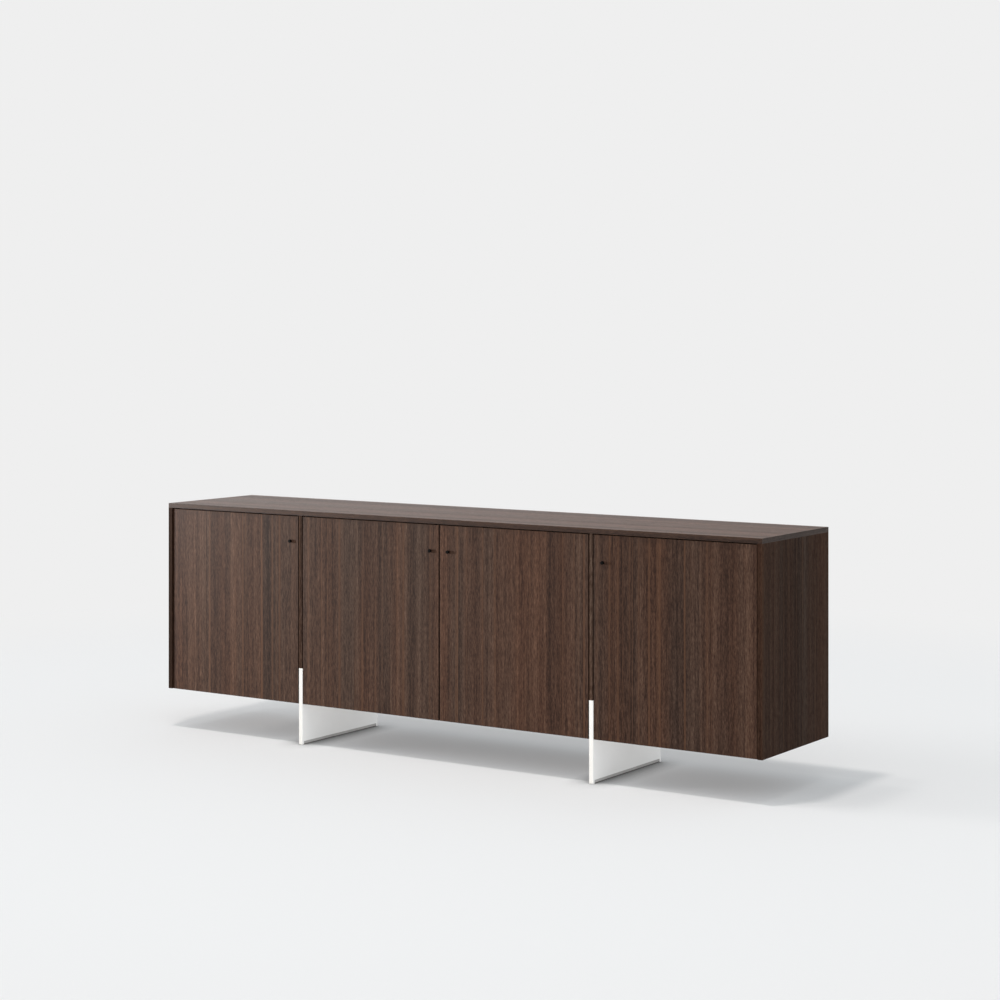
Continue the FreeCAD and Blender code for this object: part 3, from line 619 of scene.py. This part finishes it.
# Shelf pins
# Turned steel pins, zinc plated, with a collar that stops against the wall. They are pushed into
# holes in the uprights, and four carry each shelf.
PIN_SIDES = 20
PIN_RADIUS = 0.0025
PIN_LENGTH = 0.016
PIN_ROUND = 0.0007
PIN_STEPS = 3
PIN_SUNK = 0.005
COLLAR_RADIUS = 0.0038
COLLAR_END = 0.0058
COLLAR_ROUND = 0.0003
COLLAR_STEPS = 2
PIN_INSET = 0.045
shelf_low, shelf_high = box("left_shelf")
PIN_HEIGHT = shelf_low.z - PIN_RADIUS
PIN_DEPTHS = (shelf_low.y + PIN_INSET, shelf_high.y - PIN_INSET)
PIN_WALLS = (
    (box("left_side_panel")[1].x, RIGHT),
    (box("left_partition")[0].x, LEFT),
    (box("left_partition")[1].x, RIGHT),
    (box("right_partition")[0].x, LEFT),
    (box("right_partition")[1].x, RIGHT),
    (box("right_side_panel")[0].x, LEFT),
)
shelf_pin = start_round("shelf_pin", PIN_RADIUS, 0.0, PIN_LENGTH, PIN_SIDES)
pick(shelf_pin, "edges", level_edge(PIN_LENGTH))
bpy.ops.mesh.bevel(offset=PIN_ROUND, segments=PIN_STEPS, affect="EDGES")
bpy.ops.object.mode_set(mode="OBJECT")
collar = start_round("collar", COLLAR_RADIUS, PIN_SUNK, COLLAR_END, PIN_SIDES)
pick(collar, "edges", level_edge(COLLAR_END))
bpy.ops.mesh.bevel(offset=COLLAR_ROUND, segments=COLLAR_STEPS, affect="EDGES")
bpy.ops.object.mode_set(mode="OBJECT")
shelf_pin.select_set(True)
bpy.context.view_layer.objects.active = shelf_pin
bpy.ops.object.join()
bpy.ops.object.shade_smooth_by_angle(angle=ROUND_ANGLE)
shelf_pin.data.materials.append(zinc)
pins = set_out(shelf_pin, "shelf_pins_turned", [
    stand(wall - PIN_SUNK * inward.x, y, PIN_HEIGHT, inward)
    for wall, inward in PIN_WALLS for y in PIN_DEPTHS])
bpy.data.objects.remove(shelf_pin)
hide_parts("shelf_pins")
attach(pins, "carcass")


# Concealed hinges
# Pressed steel, nickel plated: a round cup with a rim and two screw wings let into the back of the
# door, an arm cranked round the case edge, and a mounting plate screwed to the side or partition.
RIM_RADIUS = 0.0205
CUP_RADIUS = 0.0175
HOLLOW_RADIUS = 0.0167
RIM_THICKNESS = 0.001
CUP_DEPTH = 0.0162
FLOOR_THICKNESS = 0.0008
CUP_SIDES = 48
CUP_STEPS = 3
CUP_ROUNDS = (
    (-CUP_DEPTH, 0.0016), (FLOOR_THICKNESS - CUP_DEPTH, 0.0012), (RIM_THICKNESS, 0.0004))
WING_AT = (0.006, 0.02375, 0.00046)
WING_SIZE = (0.011, 0.0125, 0.00092)
WING_END = 0.030
WING_ROUND = 0.0042
WING_STEPS = 5
UPRIGHT_RISE = 0.0005
CUP_IN = 0.0025
nickel = coated(
    "nickel", (0.68, 0.67, 0.65), (0.56, 0.555, 0.54),
    rough=0.30, peel=700.0, peel_depth=0.0001, metallic=1.0)
finish_nodes(
    nickel, "hinge_mounting_plates",
    *(f"{door}_{height}_hinge_arm" for door in DOORS for height in HINGE_HEIGHTS))
finish_nodes(zinc, *(f"{door}_hinge_pins" for door in DOORS))


def looks_down(face):
    return face.normal.z < -NEARLY_UPRIGHT


def wing_corner(way):
    def test(edge):
        at_end = all(abs(corner.co.y - way * WING_END) < SAME_PLACE for corner in edge.verts)
        return at_end and abs(edge.verts[0].co.z - edge.verts[1].co.z) > UPRIGHT_RISE
    return test


pressed_cup = start_round("pressed_cup", RIM_RADIUS, 0.0, RIM_THICKNESS, CUP_SIDES)
pick(pressed_cup, "faces", looks_down)
bpy.ops.mesh.inset(thickness=RIM_RADIUS - CUP_RADIUS)
draw_out(-CUP_DEPTH)
pick(pressed_cup, "faces", looks_up)
bpy.ops.mesh.inset(thickness=RIM_RADIUS - HOLLOW_RADIUS)
draw_out(FLOOR_THICKNESS - RIM_THICKNESS - CUP_DEPTH)
for level, round_off in CUP_ROUNDS:
    pick(pressed_cup, "edges", level_edge(level))
    bpy.ops.mesh.bevel(offset=round_off, segments=CUP_STEPS, affect="EDGES")
bpy.ops.object.mode_set(mode="OBJECT")
for way in (-1.0, 1.0):
    wing_x, wing_y, wing_z = WING_AT
    bpy.ops.object.select_all(action="DESELECT")
    bpy.ops.mesh.primitive_cube_add(size=1.0, location=(wing_x, way * wing_y, wing_z))
    wing = bpy.context.object
    wing.scale = WING_SIZE
    bpy.ops.object.transform_apply(location=True, rotation=True, scale=True)
    bpy.ops.object.mode_set(mode="EDIT")
    pick(wing, "edges", wing_corner(way))
    bpy.ops.mesh.bevel(offset=WING_ROUND, segments=WING_STEPS, affect="EDGES")
    bpy.ops.object.mode_set(mode="OBJECT")
    pressed_cup.select_set(True)
    bpy.context.view_layer.objects.active = pressed_cup
    bpy.ops.object.join()
bpy.ops.object.shade_smooth_by_angle(angle=ROUND_ANGLE)
pressed_cup.data.materials.append(nickel)
for door, (pivot_x, outward) in DOORS.items():
    hand = -outward.x
    turn = Matrix(((hand, 0.0, 0.0), (0.0, 0.0, 1.0), (0.0, -hand, 0.0))).to_4x4()
    for height, level in HINGE_HEIGHTS.items():
        place = Matrix.Translation((pivot_x + hand * CUP_IN, DOOR_BACK, level)) @ turn
        cup = set_out(pressed_cup, f"{door}_{height}_cup_pressed", [place])
        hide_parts(f"{door}_{height}_hinge_cup")
        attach(cup, f"{door}_leaf")
bpy.data.objects.remove(pressed_cup)


# Doors
# Four flat doors veneered like the case, with the grain upright and the figure running on from door
# to door. Their edges are eased and banded along the length. The side edges, which face the gaps
# between the doors, are darkened, as painted shade in those gaps.
LEAF_TINTS = {
    "left_outer": (1.0, 1.0, 1.0), "left_inner": (1.0, 1.0, 1.0),
    "right_inner": (1.12, 1.12, 1.12), "right_outer": (1.0, 1.0, 1.0)}
LEAF_SHINE = 0.46
LEAF_INDEX = 1.18
# Painted shade: the doors' side edges, in the gaps, are darkened.
LEAF_GAP_SHADE = (0.25, 0.25, 0.25)
for door, tint in LEAF_TINTS.items():
    leaf = veneer(
        f"{door}_veneer", UPRIGHT, LENGTHWISE, ALONG_Z, shift_tones(VENEER_TONES, tint),
        LEAF_SHINE, LEAF_INDEX, painted_edge_shading=(ALONG_X, "GREATER_THAN", LEAF_GAP_SHADE))
    finish_nodes(leaf, f"{door}_door")


# Knobs
# Small turned knobs with a matte black coat, near the doors' upper free corners. Each is held by one
# screw from the back of its door.
matte_black = coated(
    "matte_black", (0.006, 0.005, 0.005), (0.003, 0.003, 0.003),
    rough=0.6, peel=1800.0, peel_depth=0.0001, gloss=0.03)
finish_nodes(matte_black, *(f"{door}_knob" for door in DOORS))


# Door buffers
# Low domes of clear soft plastic, stuck to the front edge of the bottom. The doors close against
# them.
DOME_RADIUS = 0.004
DOME_HEIGHT = 0.002
DOME_SIDES = 24
DOME_ROUND = 0.0016
DOME_STEPS = 5
CLEARNESS = 0.6
DOME_Y = box("bottom_panel")[0].y
DOME_IN = 0.060
dome_places = []
for door, (pivot_x, outward) in DOORS.items():
    door_low, door_high = box(f"{door}_door")
    free_edge = door_high.x if outward is LEFT else door_low.x
    dome_places.append(stand(free_edge + outward.x * DOME_IN, DOME_Y, BOTTOM_MIDDLE, FORWARD))
clear_soft = coated(
    "clear_soft", (0.80, 0.81, 0.82), (0.72, 0.73, 0.74), rough=0.35, peel=1200.0, peel_depth=0.0001)
clear_soft.node_tree.nodes["Principled BSDF"].inputs["Transmission Weight"].default_value = CLEARNESS
dome = start_round("dome", DOME_RADIUS, 0.0, DOME_HEIGHT, DOME_SIDES)
pick(dome, "edges", level_edge(DOME_HEIGHT))
bpy.ops.mesh.bevel(offset=DOME_ROUND, segments=DOME_STEPS, affect="EDGES")
bpy.ops.object.mode_set(mode="OBJECT")
bpy.ops.object.shade_smooth_by_angle(angle=ROUND_ANGLE)
dome.data.materials.append(clear_soft)
domes = set_out(dome, "door_buffers_domed", dome_places)
bpy.data.objects.remove(dome)
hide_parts("door_buffers")
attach(domes, "carcass")


# Studio floor
# A plain pale sweep. Near the piece it takes the light and the shadow, and further off it goes over
# into the even pale grey of the background. Near the piece a share of even pale glow, painted light,
# lifts the shadow, and an occlusion mask darkens its colour and glow in narrow nooks, as painted shade.
PALE = 0.863
FLOOR_SIZE = 120.0
FLOOR_PAINT = (0.848, 0.860, 0.872, 1.0)
NOOK_REACH = 0.09
NOOK_SPAN = (0.45, 1.0)
NOOK_SHADE = (0.22, 1.0)
FAR_SPAN = (2.0, 3.9)
FAR_SHARE = (0.28, 1.0)


def background_rays(tree, path):
    x, y = path.location
    seen_or_mirrored = add_node(tree, "ShaderNodeMath", x + 200, y, operation="MAXIMUM")
    any_of_three = add_node(tree, "ShaderNodeMath", x + 400, y, operation="MAXIMUM")
    tree.links.new(path.outputs["Is Camera Ray"], seen_or_mirrored.inputs[0])
    tree.links.new(path.outputs["Is Glossy Ray"], seen_or_mirrored.inputs[1])
    tree.links.new(seen_or_mirrored.outputs[0], any_of_three.inputs[0])
    tree.links.new(path.outputs["Is Transmission Ray"], any_of_three.inputs[1])
    return any_of_three.outputs[0]


bpy.ops.mesh.primitive_plane_add(size=FLOOR_SIZE, location=(0.0, 0.0, 0.0))
floor = bpy.context.object
floor.name = "studio_floor"
pale_floor = bpy.data.materials.new("pale_floor")
pale_floor.use_nodes = True
tree = pale_floor.node_tree
lit = tree.nodes["Principled BSDF"]
lit.inputs["Roughness"].default_value = 1.0
lit.inputs["Specular IOR Level"].default_value = 0.0
glow = add_node(tree, "ShaderNodeEmission", 0, -300)
glow.inputs["Color"].default_value = (PALE, PALE, PALE, 1.0)
# Painted shade: ambient occlusion darkens the floor's paint and glow in narrow nooks.
painted_nook_shade = add_node(tree, "ShaderNodeAmbientOcclusion", -900, 400, samples=8)
painted_nook_shade.inputs["Distance"].default_value = NOOK_REACH
depth = map_range(tree, -700, 400, NOOK_SPAN, NOOK_SHADE)
paint = add_node(tree, "ShaderNodeMix", -300, 300, data_type="RGBA", blend_type="MULTIPLY")
paint.inputs["Factor"].default_value = 1.0
paint.inputs["A"].default_value = FLOOR_PAINT
tree.links.new(painted_nook_shade.outputs["AO"], depth.inputs["Value"])
tree.links.new(depth.outputs["Result"], paint.inputs["B"])
tree.links.new(paint.outputs["Result"], lit.inputs["Base Color"])
tree.links.new(depth.outputs["Result"], glow.inputs["Strength"])
place = add_node(tree, "ShaderNodeTexCoord", -1100, 0)
distance = add_node(tree, "ShaderNodeVectorMath", -900, 0, operation="LENGTH")
# Painted light: near the piece a share of pale glow lifts the floor's shadows.
far = map_range(tree, -700, 0, FAR_SPAN, FAR_SHARE)
far.interpolation_type = "SMOOTHSTEP"
path = add_node(tree, "ShaderNodeLightPath", -900, -300)
background = background_rays(tree, path)
share = add_node(tree, "ShaderNodeMath", -300, -100, operation="MULTIPLY")
blend = add_node(tree, "ShaderNodeMixShader", 300, 0)
tree.links.new(place.outputs["Object"], distance.inputs[0])
tree.links.new(distance.outputs["Value"], far.inputs["Value"])
tree.links.new(far.outputs["Result"], share.inputs[0])
tree.links.new(background, share.inputs[1])
tree.links.new(share.outputs[0], blend.inputs["Fac"])
tree.links.new(lit.outputs["BSDF"], blend.inputs[1])
tree.links.new(glow.outputs["Emission"], blend.inputs[2])
tree.links.new(blend.outputs["Shader"], tree.nodes["Material Output"].inputs["Surface"])
floor.data.materials.append(pale_floor)


# Studio light
# A lamp high before the piece throws the main shadow, and weaker suns and low washes step and soften
# it. A soft box far to the left rakes the wood, and fills of their own light the white plates. The
# surround is pale, and a little brighter before the piece than behind it.
SURROUND_COLOUR = (0.95, 1.015, 1.060, 1.0)
SURROUND_BEHIND = 0.40
SURROUND_BEFORE = 0.66
WALL_SPAN = (-0.72, -0.40)
WALL_CHANGE = (0.40, -0.34)
KEY_AT = Vector((-0.31, -2.40, 10.60))
KEY_AIM = Vector((0.0, 0.0, 0.0))
KEY_SIZE = 0.9
KEY_POWER = 345.0
KEY_COLOUR = (0.98, 0.920, 0.870)
BOX_AT = Vector((-4.2, -1.7, 0.92))
BOX_AIM = Vector((-0.4, -0.2, 0.4))
BOX_SIZE = 0.5
BOX_POWER = 246.0
BOX_COLOUR = (1.0, 0.985, 0.96)
SUN_DISTANCE = 4.0
FACE_FILLS = {"left": 1.25, "right": 1.2}
world = bpy.data.worlds.new("surround")
bpy.context.scene.world = world
world.use_nodes = True
tree = world.node_tree
surround = tree.nodes["Background"]
surround.inputs["Color"].default_value = SURROUND_COLOUR
towards = add_node(tree, "ShaderNodeTexCoord", -900, -100)
before = add_node(tree, "ShaderNodeVectorMath", -700, -100, operation="DOT_PRODUCT")
before.inputs[1].default_value = FORWARD
level = map_range(tree, -500, -100, (-1.0, 1.0), (SURROUND_BEHIND, SURROUND_BEFORE))
tree.links.new(towards.outputs["Generated"], before.inputs[0])
tree.links.new(before.outputs["Value"], level.inputs["Value"])
tree.links.new(level.outputs["Result"], surround.inputs["Strength"])
backdrop = add_node(tree, "ShaderNodeBackground", 0, -200)
backdrop.inputs["Color"].default_value = (PALE, PALE, PALE, 1.0)
path = add_node(tree, "ShaderNodeLightPath", -600, 200)
background = background_rays(tree, path)
blend = add_node(tree, "ShaderNodeMixShader", 200, 0)
tree.links.new(background, blend.inputs["Fac"])
tree.links.new(surround.outputs["Background"], blend.inputs[1])
tree.links.new(backdrop.outputs["Background"], blend.inputs[2])
tree.links.new(blend.outputs["Shader"], tree.nodes["World Output"].inputs["Surface"])
across = add_node(tree, "ShaderNodeVectorMath", -700, -400, operation="DOT_PRODUCT")
across.inputs[1].default_value = RIGHT
wall_tone = map_range(tree, -500, -400, WALL_SPAN, WALL_CHANGE)
mirrored = add_node(tree, "ShaderNodeMath", -250, -400, operation="MULTIPLY_ADD")
mirrored.inputs[2].default_value = 1.0
tree.links.new(towards.outputs["Generated"], across.inputs[0])
tree.links.new(across.outputs["Value"], wall_tone.inputs["Value"])
tree.links.new(wall_tone.outputs["Result"], mirrored.inputs[0])
tree.links.new(path.outputs["Is Glossy Ray"], mirrored.inputs[1])
tree.links.new(mirrored.outputs[0], backdrop.inputs["Strength"])


def gather(name, things):
    made = bpy.data.collections.new(name)
    for thing in things:
        made.objects.link(thing)
    return made


def hang_lamp(name, shape, at, aim, size, power, colour, lit_things=None):
    bpy.ops.object.light_add(type="AREA", location=at)
    lamp = bpy.context.object
    lamp.name = name
    lamp.data.shape = shape
    lamp.data.size = size
    lamp.data.size_y = size
    lamp.data.energy = power
    lamp.data.color = colour
    lamp.rotation_euler = (aim - at).to_track_quat("-Z", "Y").to_euler()
    lamp.light_linking.receiver_collection = lit_things


def hang_sun(name, travel, energy, spread, colour, lit_things=None, blockers=None):
    bpy.ops.object.light_add(type="SUN", location=-SUN_DISTANCE * Vector(travel))
    sun = bpy.context.object
    sun.name = name
    sun.data.energy = energy
    sun.data.angle = math.radians(spread)
    sun.data.color = colour
    sun.rotation_euler = Vector(travel).to_track_quat("-Z", "Y").to_euler()
    sun.light_linking.receiver_collection = lit_things
    sun.light_linking.blocker_collection = blockers


floor_alone = gather("floor_alone", [floor])
piece_alone = gather("piece_alone", [*nodes.values(), *new_pieces])
underside = gather("underside", [nodes["bottom_panel"]])
wood_and_fittings = gather("wood_and_fittings", [
    piece for piece in (*nodes.values(), *new_pieces)
    if not piece.name.endswith(("leg_plate", "glide_strip"))])
hang_lamp("key", "DISK", KEY_AT, KEY_AIM, KEY_SIZE, KEY_POWER, KEY_COLOUR)
# Name, travel, energy, spread in degrees, colour, what it lights and what blocks it.
hang_sun("second_key", (0.323, 0.218, -1.0), 0.40, 6.5, KEY_COLOUR, piece_alone)
hang_sun("second_shade", (0.323, 0.218, -1.0), 0.22, 6.5, KEY_COLOUR, floor_alone)
hang_sun("third_key", (-0.20, 0.222, -1.0), 0.12, 6.5, KEY_COLOUR)
hang_sun("under_wash", (2.00, 0.28, -1.0), 0.42, 9.0, KEY_COLOUR, floor_alone, underside)
hang_sun("low_wash", (1.0, 0.35, -0.24), 1.30, 20.0, (0.98, 0.94, 0.91), floor_alone)
hang_lamp("soft_box", "RECTANGLE", BOX_AT, BOX_AIM, BOX_SIZE, BOX_POWER, BOX_COLOUR, wood_and_fittings)
for side, energy in FACE_FILLS.items():
    plate = gather(f"{side}_plate", [nodes[f"{side}_leg_plate"], nodes[f"{side}_glide_strip"]])
    hang_sun(f"{side}_plate_fill", (-1.0, 0.0, -0.05), energy, 30.0, (1.0, 1.0, 1.0), plate, plate)
    hang_sun(f"{side}_edge_fill", (0.0, 1.0, -0.05), 1.05, 12.0, (1.0, 0.90, 0.76), plate, plate)


# Camera
# Level and well to the right of the piece, on a long lens. The lens is shifted down, so that uprights
# stay upright.
CAMERA_AT = (3.8913, -5.6888, 1.3335)
CAMERA_TURN = 33.786
SENSOR_WIDTH = 36.0
LENS_LENGTH = 79.33
LENS_SHIFT = -0.1739
bpy.ops.object.camera_add(
    location=CAMERA_AT, rotation=(math.radians(90.0), 0.0, math.radians(CAMERA_TURN)))
camera = bpy.context.object
camera.data.sensor_width = SENSOR_WIDTH
camera.data.lens = LENS_LENGTH
camera.data.shift_y = LENS_SHIFT
bpy.context.scene.camera = camera
bpy.context.scene.view_settings.view_transform = "Standard"
